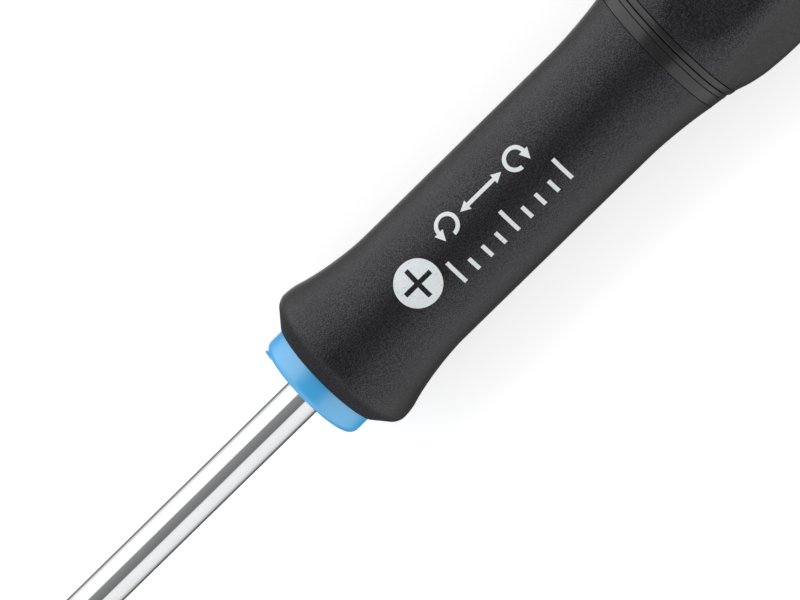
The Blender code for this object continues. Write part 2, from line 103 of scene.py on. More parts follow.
def addBlock(bm, low, high, angle=0.0):
    # A box between two corners, given about the axis and turned round it.
    size = Vector(high) - Vector(low)
    middle = (Vector(high) + Vector(low)) / 2
    place = aroundAxis(angle) @ Matrix.Translation(middle) @ Matrix.Diagonal((*size, 1.0))
    bmesh.ops.create_cube(bm, size=1.0, matrix=place)


def combine(bm, tool, operation):
    # Joins or cuts a closed shape with another and gives back the result.
    parts = []
    for shape in (bm, tool):
        mesh = bpy.data.meshes.new("workShape")
        shape.to_mesh(mesh)
        shape.free()
        part = bpy.data.objects.new("workShape", mesh)
        bpy.context.scene.collection.objects.link(part)
        parts.append(part)
    modifier = parts[0].modifiers.new("combine", "BOOLEAN")
    modifier.operation = operation
    modifier.solver = "EXACT"
    modifier.object = parts[1]
    result = bmesh.new()
    result.from_object(parts[0], bpy.context.evaluated_depsgraph_get())
    for part in parts:
        mesh = part.data
        bpy.data.objects.remove(part)
        bpy.data.meshes.remove(mesh)
    return result


def finishPiece(name, bm, material, body, slotName, *nodes):
    # Makes the piece's object at the origin, smooth between its sharp edges, and hangs it on its body.
    mesh = bpy.data.meshes.new(name)
    bm.to_mesh(mesh)
    bm.free()
    mesh.shade_smooth()
    mesh.set_sharp_from_angle(angle=math.radians(35.0))
    mesh.materials.append(material)
    piece = bpy.data.objects.new(name, mesh)
    bpy.context.scene.collection.objects.link(piece)
    even = piece.modifiers.new("evenNormals", "WEIGHTED_NORMAL")
    even.keep_sharp = True
    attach(piece, body)
    if nodes:
        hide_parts(*nodes)
    return piece


class Finish:
    # One procedural material: its node tree, with short calls for the nodes that the finishes use.

    def __init__(self, name, **sockets):
        self.material = bpy.data.materials.new(name)
        self.material.use_nodes = True
        self.tree = self.material.node_tree
        self.shader = self.tree.nodes["Principled BSDF"]
        for socket, value in sockets.items():
            self.shader.inputs[socket.replace("_", " ")].default_value = value
        self.place = self.tree.nodes.new("ShaderNodeTexCoord").outputs["Object"]

    def node(self, kind, inputs, **properties):
        node = self.tree.nodes.new(kind)
        for name, value in properties.items():
            setattr(node, name, value)
        for socket, value in inputs.items():
            if isinstance(value, bpy.types.NodeSocket):
                self.tree.links.new(value, node.inputs[socket])
            else:
                node.inputs[socket].default_value = value
        return node

    def along(self):
        # Position along the tool's axis.
        return self.node("ShaderNodeSeparateXYZ", {"Vector": self.place}).outputs["X"]

    def stretched(self, scale):
        return self.node("ShaderNodeMapping", {"Vector": self.place, "Scale": scale}).outputs["Vector"]

    def noise(self, size, detail=3.0, vector=None, roughness=0.5, distortion=0.0):
        # Size is the width of one patch in metres.
        inputs = {
            "Vector": vector or self.place,
            "Scale": 1.0 / size,
            "Detail": detail,
            "Roughness": roughness,
            "Distortion": distortion,
        }
        return self.node("ShaderNodeTexNoise", inputs).outputs["Fac"]

    def cells(self, size, smoothness=0.5):
        inputs = {"Vector": self.place, "Scale": 1.0 / size, "Smoothness": smoothness}
        return self.node("ShaderNodeTexVoronoi", inputs, feature="SMOOTH_F1").outputs["Distance"]

    def remap(self, value, fromLow, fromHigh, toLow, toHigh):
        inputs = {
            "Value": value,
            "From Min": fromLow,
            "From Max": fromHigh,
            "To Min": toLow,
            "To Max": toHigh,
        }
        return self.node("ShaderNodeMapRange", inputs, interpolation_type="SMOOTHSTEP").outputs["Result"]

    def maths(self, operation, first, second=0.0):
        return self.node("ShaderNodeMath", {0: first, 1: second}, operation=operation).outputs[0]

    def mixColour(self, factor, first, second):
        inputs = {"Factor": factor, 6: first, 7: second}
        return self.node("ShaderNodeMix", inputs, data_type="RGBA").outputs[2]

    def colour(self, value):
        self.tree.links.new(value, self.shader.inputs["Base Color"])

    def roughness(self, value):
        self.tree.links.new(value, self.shader.inputs["Roughness"])

    def glint(self, value):
        self.tree.links.new(value, self.shader.inputs["Specular Tint"])

    def bump(self, height, depth, under=None):
        inputs = {"Height": height, "Distance": depth, "Strength": 1.0}
        if under:
            inputs["Normal"] = under
        normal = self.node("ShaderNodeBump", inputs).outputs["Normal"]
        self.tree.links.new(normal, self.shader.inputs["Normal"])
        return normal


chromeLook = {
    "dark": (0.55, 0.555, 0.565, 1.0),
    "light": (0.60, 0.605, 0.61, 1.0),
    "worn": (0.33, 0.32, 0.31, 1.0),
    "polish": (0.05, 0.09),  # roughness of the plating
    "cloudSize": 4.0 * mm,
    "scuffSize": 0.35 * mm,
    "wearRoughness": 0.45,
    "wearLength": 9.0 * mm,  # from the tip
    "lineWidth": 0.09 * mm,
    "lineDepth": 0.0004 * mm,
    "waveLength": 5.0 * mm,
    "waveDepth": 0.012 * mm,
}


def polishedChrome():
    # Plated and polished steel, with faint lines along the blade and a duller, worn tip.
    look = chromeLook
    finish = Finish("polishedChrome", Metallic=1.0)
    tip = span("blade")[0]
    wear = finish.remap(finish.along(), tip, tip + look["wearLength"], 1.0, 0.0)
    lines = finish.noise(look["lineWidth"], 2.0, finish.stretched((0.03, 1.0, 1.0)))
    clouds = finish.noise(look["cloudSize"], 4.0)
    scuffs = finish.noise(look["scuffSize"], 5.0, roughness=0.7)
    polish = finish.remap(clouds, 0.35, 0.7, *look["polish"])
    scuffed = finish.maths("MULTIPLY", wear, scuffs)
    finish.roughness(finish.maths("ADD", polish, finish.maths("MULTIPLY", scuffed, look["wearRoughness"])))
    bright = finish.mixColour(clouds, look["dark"], look["light"])
    finish.colour(finish.mixColour(scuffed, bright, look["worn"]))
    waves = finish.noise(look["waveLength"], 1.0)
    under = finish.bump(waves, look["waveDepth"])
    finish.bump(lines, look["lineDepth"], under)
    return finish.material


ringLook = {
    "deep": (0.006, 0.33, 0.68, 1.0),
    "light": (0.008, 0.36, 0.74, 1.0),
    "gloss": (0.29, 0.37),
    "flowSize": 2.5 * mm,
    "fineSize": 0.12 * mm,
    "fineDepth": 0.0015 * mm,
}


def ringPlastic():
    # Light-blue moulded plastic with a clear gloss over a strong colour.
    look = ringLook
    finish = Finish("ringPlastic", IOR=1.8, Specular_IOR_Level=0.75)
    flow = finish.noise(look["flowSize"], 3.0, distortion=0.6)
    finish.colour(finish.mixColour(flow, look["deep"], look["light"]))
    fine = finish.noise(look["fineSize"], 3.0)
    finish.roughness(finish.remap(fine, 0.3, 0.7, *look["gloss"]))
    finish.bump(fine, look["fineDepth"])
    return finish.material


rubberLook = {
    "dark": (0.0030, 0.0028, 0.0034, 1.0),
    "light": (0.0045, 0.0042, 0.0051, 1.0),
    "peak": (0.012, 0.0115, 0.0135, 1.0),  # on top of the grain
    # reflection tint in the grain's hollows: dimmed, painted shade
    "hollowShadedGlint": (0.30, 0.295, 0.325, 1.0),
    "peakGlint": (0.98, 0.96, 1.0, 1.0),
    "handled": (0.25, 0.31),  # roughness of the handled surface
    "grainRoughness": 0.08,
    "mattRoughness": 0.45,  # more on the guard's front slope
    "mattStation": (1.2 * mm, 2.1 * mm),  # behind the grip's front
    "patchSize": 5.0 * mm,
}


def softRubber(name, grainSize, grainDepth):
    # Black soft-touch plastic with a fine moulded grain that sparkles a little. Its reflection is dimmed in
    # the grain's hollows as painted shade.
    look = rubberLook
    finish = Finish(name, Specular_IOR_Level=0.6)
    grain = finish.cells(grainSize)
    dust = finish.noise(grainSize * 0.8, 2.0, roughness=0.65)
    patches = finish.noise(look["patchSize"], 4.0, distortion=0.4)
    base = finish.mixColour(patches, look["dark"], look["light"])
    peaks = finish.remap(dust, 0.55, 0.75, 0.0, 0.5)
    finish.colour(finish.mixColour(peaks, base, look["peak"]))
    # Painted shade: the reflection is tinted dark in the grain's hollows and left full on its peaks
    hollowShadeMask = finish.remap(dust, 0.38, 0.62, 0.0, 1.0)
    finish.glint(finish.mixColour(hollowShadeMask, look["hollowShadedGlint"], look["peakGlint"]))
    start, end = [gripFront + station for station in look["mattStation"]]
    matt = finish.remap(finish.along(), start, end, look["mattRoughness"], 0.0)
    wear = finish.maths("ADD", finish.remap(patches, 0.3, 0.7, *look["handled"]), matt)
    rough = finish.remap(grain, 0.1, 0.6, 0.0, look["grainRoughness"])
    finish.roughness(finish.maths("ADD", wear, rough))
    finish.bump(finish.maths("SUBTRACT", dust, grain), grainDepth)
    return finish.material


hardLook = {
    "patchSize": 3.0 * mm,
    "peelSize": 0.3 * mm,
    "peelDepth": 0.002 * mm,
    "shinier": 0.04,  # how far the roughness varies round its middle value
    "duller": 0.05,
}


def hardPlastic(name, low, high, gloss):
    # Smooth hard plastic, very slightly orange-peeled.
    look = hardLook
    finish = Finish(name, Specular_IOR_Level=0.5)
    patches = finish.noise(look["patchSize"], 4.0)
    finish.colour(finish.mixColour(patches, (*low, 1.0), (*high, 1.0)))
    peel = finish.noise(look["peelSize"], 2.0)
    finish.roughness(finish.remap(peel, 0.3, 0.7, gloss - look["shinier"], gloss + look["duller"]))
    finish.bump(peel, look["peelDepth"])
    return finish.material


steelLook = {
    "lineWidth": 0.06 * mm,
    "lineDepth": 0.0006 * mm,
    "stainSize": 1.6 * mm,
    "shinier": 0.05,
    "duller": 0.08,
}


def groundSteel(name, low, high, gloss, stretch):
    # Ground or rolled metal. The stretch is the direction in which its fine lines run.
    look = steelLook
    finish = Finish(name, Metallic=1.0)
    lines = finish.noise(look["lineWidth"], 2.0, finish.stretched(stretch))
    stains = finish.noise(look["stainSize"], 4.0, distortion=0.5)
    finish.colour(finish.mixColour(stains, (*low, 1.0), (*high, 1.0)))
    finish.roughness(finish.remap(lines, 0.3, 0.7, gloss - look["shinier"], gloss + look["duller"]))
    finish.bump(lines, look["lineDepth"])
    return finish.material


inkLook = {
    "pale": (0.66, 0.70, 0.715, 1.0),
    "white": (0.72, 0.755, 0.77, 1.0),
    "pit": (0.18, 0.19, 0.20, 1.0),
    "dryness": (0.5, 0.62),  # roughness
    "cloudSize": 1.2 * mm,
    "pitSize": 0.16 * mm,
    "pitDepth": 0.006 * mm,
}


def printInk():
    # Pale pad-printed ink, pitted where the grain under it shows through.
    look = inkLook
    finish = Finish("printInk", Specular_IOR_Level=0.3)
    pits = finish.noise(look["pitSize"], 4.0, roughness=0.7)
    clouds = finish.noise(look["cloudSize"], 2.0)
    base = finish.mixColour(clouds, look["pale"], look["white"])
    finish.colour(finish.mixColour(finish.remap(pits, 0.56, 0.72, 0.0, 0.8), base, look["pit"]))
    finish.roughness(finish.remap(pits, 0.3, 0.7, *look["dryness"]))
    finish.bump(pits, look["pitDepth"])
    return finish.material


print("making the finishes")
finishes = {
    "chrome": polishedChrome(),
    "blue": ringPlastic(),
    "grip": softRubber("gripRubber", 0.15 * mm, 0.028 * mm),
    "cap": softRubber("capRubber", 0.17 * mm, 0.034 * mm),
    "core": hardPlastic("corePlastic", (0.004, 0.004, 0.005), (0.007, 0.007, 0.008), 0.25),
    "disc": hardPlastic("discPlastic", (0.008, 0.008, 0.009), (0.013, 0.013, 0.014), 0.28),
    "slide": hardPlastic("slidePlastic", (0.005, 0.005, 0.006), (0.009, 0.009, 0.010), 0.28),
    "pin": groundSteel("pinSteel", (0.50, 0.50, 0.51), (0.60, 0.60, 0.61), 0.2, (0.03, 1.0, 1.0)),
    "bearing": groundSteel("bearingSteel", (0.56, 0.56, 0.57), (0.66, 0.66, 0.67), 0.12, (1.0, 1.0, 1.0)),
    "spring": groundSteel("springSteel", (0.16, 0.155, 0.15), (0.24, 0.235, 0.23), 0.36, (1.0, 0.2, 1.0)),
    "brass": groundSteel("cageBrass", (0.62, 0.42, 0.16), (0.78, 0.57, 0.26), 0.3, (1.0, 0.1, 1.0)),
    "ink": printInk(),
}


bladeShape = {
    "pointRadius": 0.4 * mm,
    "pointEdge": 0.08 * mm,
    "pointLength": 1.8 * mm,
    "pointSlope": math.radians(26.5),
    "pointBlend": 0.5 * mm,
    "taperLength": 11.0 * mm,  # from the tip to the full shank
    "taperBlend": 3.0 * mm,
    "fluteRoot": 0.24 * mm,
    "fluteLength": 7.0 * mm,
    "fluteRound": 0.1 * mm,
    "tickReach": 0.42 * mm,  # the small ribs between the tip's wings
    "tickThickness": 0.14 * mm,
    "tickLength": 1.6 * mm,
    "tangChamfer": 0.5 * mm,
    "wingStart": 10.0 * mm,  # behind the grip's front
    "wingLength": 8.0 * mm,
    "wingThickness": 1.4 * mm,
}


def fluteCutter(shape, tip, shankRadius):
    # Four square bars, a rounded edge towards the axis, that lean outwards away from the tip.
    side = 2.5 * shankRadius
    length = 4 * shape["fluteLength"]
    lean = math.atan2(shankRadius - shape["fluteRoot"], shape["fluteLength"])
    depth = side / math.sqrt(2) - shape["fluteRound"] * (math.sqrt(2) - 1)
    bars = bmesh.new()
    for number in range(4):
        bar = bmesh.new()
        bmesh.ops.create_cube(bar, size=1.0, matrix=Matrix.Diagonal((length, side, side, 1.0)))
        long = [edge for edge in bar.edges if abs(edge.verts[0].co.x - edge.verts[1].co.x) > side]
        bmesh.ops.bevel(
            bar,
            geom=long,
            offset=shape["fluteRound"],
            offset_type="OFFSET",
            affect="EDGES",
            segments=4,
            profile=0.5,
            material=-1,
        )
        seat = Matrix.Translation((0.0, 0.0, depth)) @ Matrix.Rotation(math.pi / 4, 4, "X")
        leaning = Matrix.Translation((tip, 0.0, shape["fluteRoot"])) @ Matrix.Rotation(-lean, 4, "Y")
        turn = aroundAxis(math.pi / 4 + number * math.pi / 2)
        bmesh.ops.transform(bar, matrix=turn @ leaning @ seat, verts=bar.verts)
        mesh = bpy.data.meshes.new("fluteBar")
        bar.to_mesh(mesh)
        bar.free()
        bars.from_mesh(mesh)
        bpy.data.meshes.remove(mesh)
    return bars


def makeBlade():
    shape = bladeShape
    tip, tangEnd, shankRadius = span("blade")
    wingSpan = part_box("blade")[1].y
    corners = [
        (tip, 0.0),
        (tip, shape["pointRadius"], shape["pointEdge"]),
        (
            tip + shape["pointLength"],
            shape["pointRadius"] + shape["pointLength"] * math.tan(shape["pointSlope"]),
            shape["pointBlend"],
        ),
        (tip + shape["taperLength"], shankRadius, shape["taperBlend"]),
        (tangEnd - shape["tangChamfer"], shankRadius),
        (tangEnd, shankRadius - shape["tangChamfer"]),
        (tangEnd, 0.0),
    ]
    bm = turnProfile(corners, 96, 10)
    bm = combine(bm, fluteCutter(shape, tip, shankRadius), "DIFFERENCE")
    ticks = bmesh.new()
    half = shape["tickThickness"] / 2
    reach = shape["tickReach"]
    start = tip + shape["pointEdge"]
    for number in range(2):
        turn = math.pi / 4 + number * math.pi / 2
        addBlock(ticks, (start, -half, -reach), (tip + shape["tickLength"], half, reach), turn)
    bm = combine(bm, ticks, "UNION")
    wings = bmesh.new()
    start = gripFront + shape["wingStart"]
    half = shape["wingThickness"] / 2
    addBlock(wings, (start, -wingSpan, -half), (start + shape["wingLength"], wingSpan, half))
    bm = combine(bm, wings, "UNION")
    finishPiece("steelBlade", bm, finishes["chrome"], "handle", "blade_steel", "blade")


ringShape = {
    "bore": 2.15 * mm,
    "boreEdge": 0.12 * mm,
    "spigotRadius": 4.3 * mm,
    "spigotEdge": 0.2 * mm,
    "corner": 0.85 * mm,
    "backEdge": 0.04 * mm,
    "pipRadius": 0.58 * mm,
    "pipPoint": 0.07 * mm,
    "pipLength": 0.8 * mm,
    "pipAngle": math.radians(-67.0),  # where the moulding pip sits round the front edge
    "pipLean": math.radians(-20.0),
}


def makeRing():
    shape = ringShape
    front, back, radius = span("id_ring")
    flangeBack = gripFront - seamGap
    corners = [
        (front, shape["bore"], shape["boreEdge"]),
        (front, radius, shape["corner"]),
        (flangeBack, radius, shape["backEdge"]),
        (flangeBack, shape["spigotRadius"]),
        (back, shape["spigotRadius"], shape["spigotEdge"]),
        (back, shape["bore"]),
    ]
    bm = turnProfile(corners, 144, 12)
    pip = bmesh.new()
    inset = (1.0 - math.sqrt(0.5)) * shape["corner"]
    place = (
        aroundAxis(shape["pipAngle"])
        @ Matrix.Translation((front + inset, 0.0, radius - inset))
        @ Matrix.Rotation(shape["pipLean"], 4, "Y")
    )
    bmesh.ops.create_cone(
        pip,
        cap_ends=True,
        segments=20,
        radius1=shape["pipRadius"],
        radius2=shape["pipPoint"],
        depth=shape["pipLength"],
        matrix=place,
    )
    bm = combine(bm, pip, "UNION")
    finishPiece("blueRing", bm, finishes["blue"], "handle", "ring_blue", "id_ring")


coreShape = {
    "bodyRadius": 5.2 * mm,
    "boreRoom": 0.15 * mm,
    "spigotBore": 4.45 * mm,
    "bandRise": 0.15 * mm,
    "neckRadius": 5.0 * mm,
    "seatRadius": 4.15 * mm,
    "seatDepth": 0.7 * mm,
    "ribHeight": 0.7 * mm,
    "ribWidth": 1.3 * mm,
    "ribMargin": 4.0 * mm,
    "ribRoot": 0.5 * mm,  # how far a rib starts inside the body that it stands on
    "frontEdge": 0.2 * mm,
    "bandEdges": (0.05 * mm, 0.08 * mm),
    "neckEdge": 0.15 * mm,
}


def ribBlocks(radius, start, end, height, width, root):
    # Four ribs round the axis, from a root radius outwards.
    bm = bmesh.new()
    for number in range(4):
        addBlock(bm, (start, -width / 2, root), (end, width / 2, radius + height), number * math.pi / 2)
    return bm


def cutKeyways(bm, body, start, end):
    # Room for the ribs of the hard body that a soft piece is moulded on.
    height = coreShape["ribHeight"] + fitGap
    width = coreShape["ribWidth"] + 2 * fitGap
    blocks = ribBlocks(body, start, end, height, width, body + fitGap - coreShape["ribRoot"])
    return combine(bm, blocks, "DIFFERENCE")


def makeCore():
    shape = coreShape
    front, neckEnd, bandRadius = span("handle_core")
    bandStart = gripBack + seamGap
    bandEnd = span("slide_ring")[0] - seamGap
    tangEnd = span("blade")[1] + seatGap
    tangBore = span("blade")[2] + shape["boreRoom"]
    spigotEnd = span("id_ring")[1] + seatGap
    pinStart = span("pivot_pin")[0] - seatGap
    pinBore = span("pivot_pin")[2] + shape["boreRoom"]
    seat = neckEnd - shape["seatDepth"]
    corners = [
        (tangEnd, 0.0),
        (tangEnd, tangBore),
        (spigotEnd, tangBore),
        (spigotEnd, shape["spigotBore"]),
        (front, shape["spigotBore"]),
        (front, shape["bodyRadius"], shape["frontEdge"]),
        (bandStart, shape["bodyRadius"]),
        (bandStart, bandRadius - shape["bandRise"], shape["bandEdges"][0]),
        (bandEnd, bandRadius, shape["bandEdges"][1]),
        (bandEnd, shape["neckRadius"]),
        (neckEnd, shape["neckRadius"], shape["neckEdge"]),
        (neckEnd, shape["seatRadius"]),
        (seat, shape["seatRadius"]),
        (seat, pinBore),
        (pinStart, pinBore),
        (pinStart, 0.0),
    ]
    bm = turnProfile(corners, 128, 5)
    start = front + shape["ribMargin"]
    end = gripBack - shape["ribMargin"]
    radius = shape["bodyRadius"]
    root = radius - shape["ribHeight"]
    bm = combine(bm, ribBlocks(radius, start, end, shape["ribHeight"], shape["ribWidth"], root), "UNION")
    wings = bmesh.new()
    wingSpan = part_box("blade")[1].y + fitGap
    half = bladeShape["wingThickness"] / 2 + fitGap
    start = front + bladeShape["wingStart"] - fitGap
    end = start + bladeShape["wingLength"] + 2 * fitGap
    addBlock(wings, (start, -wingSpan, -half), (end, wingSpan, half))
    bm = combine(bm, wings, "DIFFERENCE")
    finishPiece("hardCore", bm, finishes["core"], "handle", "core_black", "handle_core")


gripShape = {
    "lipRadius": 6.36 * mm,
    "shoulder": 1.72 * mm,  # from the front to the guard's corner
    "shoulderRound": 0.6 * mm,
    "guardEnd": 3.25 * mm,
    "guardRound": 0.75 * mm,
    "waistRadius": 6.92 * mm,
    "fallEnd": 8.06 * mm,
    "fallRound": 3.9 * mm,
    "flareRound": 3.8 * mm,
    "flareKnee": 4.0 * mm,
    "seamRadius": 7.65 * mm,
    "edgeRound": 0.05 * mm,
}


def makeGrip():
    shape = gripShape
    bore = coreShape["bodyRadius"] + fitGap
    waist = shape["waistRadius"]
    corners = [
        (gripFront, bore),
        (gripFront, shape["lipRadius"], shape["edgeRound"]),
        (gripFront + shape["shoulder"], guardRadius, shape["shoulderRound"]),
        (gripFront + shape["guardEnd"], guardRadius, shape["guardRound"]),
        (gripFront + shape["fallEnd"], waist, shape["fallRound"]),
        (gripBack - shape["flareKnee"], waist, shape["flareRound"]),
        (gripBack, shape["seamRadius"], shape["edgeRound"]),
        (gripBack, bore),
    ]
    bm = turnProfile(corners, 160, 12)
    start = gripFront + coreShape["ribMargin"] - fitGap
    end = gripBack - coreShape["ribMargin"] + fitGap
    bm = cutKeyways(bm, coreShape["bodyRadius"], start, end)
    return finishPiece("softGrip", bm, finishes["grip"], "handle", "grip_black", "grip_sleeve")


printLayout = {
    "thickness": 0.03 * mm,
    "sink": 0.01 * mm,
    "sliceWidth": 0.3 * mm,
    "sliceSnap": 0.0005 * mm,
    "discStation": 13.6 * mm,  # behind the grip's front
    "discRadius": 2.43 * mm,
    "crossLength": 3.4 * mm,
    "crossWidth": 0.5 * mm,
    "arrowRow": 2.1 * mm,  # height of the row above the grip's middle line
    "arrowStart": 19.5 * mm,
    "arrowPitch": 4.6 * mm,
    "arrowRadius": 1.1 * mm,
    "headWidth": 2.6,  # arrow heads, in strokes
    "roundHead": 2.6,
    "straightHead": 2.4,
    "straightLength": 1.2,  # in arrow pitches
    "scaleRow": -1.85 * mm,
    "scaleStart": 17.0 * mm,
    "scaleEnd": 31.3 * mm,
    "scaleMarks": 9,
    "shortMark": 0.55,  # of a long mark's height
    "stroke": 0.42 * mm,
    "height": 2.7 * mm,
}


def flatBar(bm, centre, length, width):
    place = Matrix.Translation((*centre, 0.0)) @ Matrix.Diagonal((length, width, 1.0, 1.0))
    bmesh.ops.create_grid(bm, x_segments=1, y_segments=1, size=0.5, matrix=place)


def arrowHead(bm, left, right, tip):
    # Closes a stroke's end, whose last edge runs from left to right, with a pointed head.
    middle = (left.co + right.co) / 2
    wing = (left.co - middle) * printLayout["headWidth"]
    corners = [bm.verts.new(middle + wing), left, right, bm.verts.new(middle - wing), bm.verts.new(tip)]
    bm.faces.new(corners)


def turningArrow(bm, centre, radius, stroke, way):
    # An open circle that ends in an arrow head. Way is 1 for one direction and -1 for the other.
    inner = bm.verts.new((centre[0], centre[1] - radius + stroke / 2, 0.0))
    outer = bm.verts.new((centre[0], centre[1] - radius - stroke / 2, 0.0))
    sweep = way * math.radians(270.0)
    made = bmesh.ops.spin(
        bm,
        geom=[inner, outer, bm.edges.new((inner, outer))],
        cent=(*centre, 0.0),
        axis=(0.0, 0.0, 1.0),
        angle=sweep,
        steps=30,
    )
    last = [item for item in made["geom_last"] if isinstance(item, bmesh.types.BMVert)]
    last.sort(key=lambda vert: (vert.co - Vector((*centre, 0.0))).length)
    spoke = (last[1].co - last[0].co).normalized()
    ahead = Vector((-spoke.y, spoke.x, 0.0)) * way
    tip = (last[0].co + last[1].co) / 2 + ahead * printLayout["roundHead"] * stroke
    arrowHead(bm, last[1], last[0], tip)


def doubleArrow(bm, centre, length, stroke):
    # A straight stroke with a head at each end.
    half = length / 2 - printLayout["straightHead"] * stroke
    corners = [(-half, -stroke / 2), (half, -stroke / 2), (half, stroke / 2), (-half, stroke / 2)]
    low, lowEnd, highEnd, high = [bm.verts.new((centre[0] + x, centre[1] + y, 0.0)) for x, y in corners]
    bm.faces.new((low, lowEnd, highEnd, high))
    arrowHead(bm, lowEnd, highEnd, Vector((centre[0] + length / 2, centre[1], 0.0)))
    arrowHead(bm, high, low, Vector((centre[0] - length / 2, centre[1], 0.0)))


def driveSymbol(bm, centre, radius, length, width):
    # A filled disc with a cross left open in it.
    made = bmesh.ops.create_circle(bm, segments=96, radius=radius, matrix=Matrix.Translation((*centre, 0.0)))
    edges = list({edge for vert in made["verts"] for edge in vert.link_edges})
    half, arm = width / 2, length / 2
    quarter = [(arm, -half), (arm, half), (half, half)]
    outline = []
    for number in range(4):
        turn = Matrix.Rotation(number * math.pi / 2, 2)
        for point in quarter:
            x, y = turn @ Vector(point)
            outline.append(bm.verts.new((centre[0] + x, centre[1] + y, 0.0)))
    edges += [bm.edges.new(pair) for pair in zip(outline, outline[1:] + outline[:1])]
    bmesh.ops.triangle_fill(bm, use_beauty=True, edges=edges, normal=(0.0, 0.0, 1.0))


def wrapOnGrip(bm, surface):
    # Thickens a flat drawing, cuts it into narrow strips and lays it round the grip.
    layout = printLayout
    bmesh.ops.recalc_face_normals(bm, faces=bm.faces)
    for face in bm.faces:
        if face.normal.z < 0.0:
            face.normal_flip()
    bmesh.ops.solidify(bm, geom=bm.faces[:], thickness=layout["thickness"] + layout["sink"])
    low = min(vert.co.z for vert in bm.verts)
    bmesh.ops.translate(bm, verts=bm.verts, vec=(0.0, 0.0, -low - layout["sink"]))
    for axis in (0, 1):
        first = min(vert.co[axis] for vert in bm.verts)
        last = max(vert.co[axis] for vert in bm.verts)
        count = int((last - first) / layout["sliceWidth"])
        for number in range(1, count + 1):
            place = Vector((0.0, 0.0, 0.0))
            place[axis] = first + (last - first) * number / (count + 1)
            normal = Vector((0.0, 0.0, 0.0))
            normal[axis] = 1.0
            bmesh.ops.bisect_plane(
                bm,
                geom=bm.verts[:] + bm.edges[:] + bm.faces[:],
                dist=layout["sliceSnap"],
                plane_co=place,
                plane_no=normal,
            )
    bmesh.ops.triangulate(bm, faces=bm.faces[:])
    bmesh.ops.recalc_face_normals(bm, faces=bm.faces)
    for vert in bm.verts:
        angle = vert.co.y / gripShape["waistRadius"]
        outward = Vector((0.0, math.sin(angle), math.cos(angle)))
        start = Vector((vert.co.x, 0.0, axisHeight)) + outward * 3 * guardRadius
        hit = surface.ray_cast(start, -outward)[0]
        vert.co = hit + outward * vert.co.z


def makePrint(grip):
    layout = printLayout
    surface = BVHTree.FromObject(grip, bpy.context.evaluated_depsgraph_get())
    symbol = bmesh.new()
    centre = (gripFront + layout["discStation"], 0.0)
    driveSymbol(symbol, centre, layout["discRadius"], layout["crossLength"], layout["crossWidth"])
    arrows = bmesh.new()
    for number, way in ((0, 1), (2, -1)):
        centre = (gripFront + layout["arrowStart"] + number * layout["arrowPitch"], layout["arrowRow"])
        turningArrow(arrows, centre, layout["arrowRadius"], layout["stroke"], way)
    centre = (gripFront + layout["arrowStart"] + layout["arrowPitch"], layout["arrowRow"])
    doubleArrow(arrows, centre, layout["straightLength"] * layout["arrowPitch"], layout["stroke"])
    scale = bmesh.new()
    length = layout["scaleEnd"] - layout["scaleStart"]
    for number in range(layout["scaleMarks"]):
        along = gripFront + layout["scaleStart"] + length * number / (layout["scaleMarks"] - 1)
        tall = layout["height"] * (1.0 if number % 4 == 0 else layout["shortMark"])
        across = layout["scaleRow"] + (tall - layout["height"]) / 2
        flatBar(scale, (along, across), layout["stroke"], tall)
    for name, drawing in (("driveSymbol", symbol), ("turningArrows", arrows), ("shortScale", scale)):
        wrapOnGrip(drawing, surface)
        finishPiece(name, drawing, finishes["ink"], "handle", "grip_black")


slideShape = {
    "bore": 5.15 * mm,
    "edge": 0.09 * mm,
    "runGap": 0.09 * mm,  # between it and the spinning cap
}


def makeSlideRing():
    shape = slideShape
    front, _, radius = span("slide_ring")
    back = span("cap_shell")[0] - shape["runGap"]
    corners = [
        (front, shape["bore"]),
        (front, radius, shape["edge"]),
        (back, radius, shape["edge"]),
        (back, shape["bore"]),
    ]
    bm = turnProfile(corners, 128, 5)
    finishPiece("slideWasher", bm, finishes["slide"], "handle", "slide_grey", "slide_ring")


bearingShape = {
    "bore": 1.55 * mm,
    "raceThickness": 1.15 * mm,
    "grooveRoom": 0.1 * mm,
    "edge": 0.12 * mm,
    "grooveSteps": 12,
    "cageMargin": 0.15 * mm,
    "cageEdge": 0.06 * mm,
}


def ballCentres():
    boxes = [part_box(f"ball_{number}") for number in range(1, 8)]
    return [(low + high) / 2 for low, high in boxes]


def raceCorners(front, way):
    # A race with its flat back at the front value. Way is 1 when its ball groove faces +X.
    shape = bearingShape
    radius = span("lower_race")[2]
    centre = ballCentres()[0]
    pitch = centre.z - axisHeight
    room = span("ball_1")[2] + shape["grooveRoom"]
    edge = front + way * shape["raceThickness"]
    half = math.acos(abs(centre.x - edge) / room)
    corners = [
        (front, shape["bore"], shape["edge"]),
        (front, radius, shape["edge"]),
        (edge, radius, shape["edge"]),
    ]
    for step in range(shape["grooveSteps"] + 1):
        angle = half - 2 * half * step / shape["grooveSteps"]
        corners.append((centre.x - way * room * math.cos(angle), pitch + room * math.sin(angle)))
    corners.append((edge, shape["bore"], shape["edge"]))
    return corners


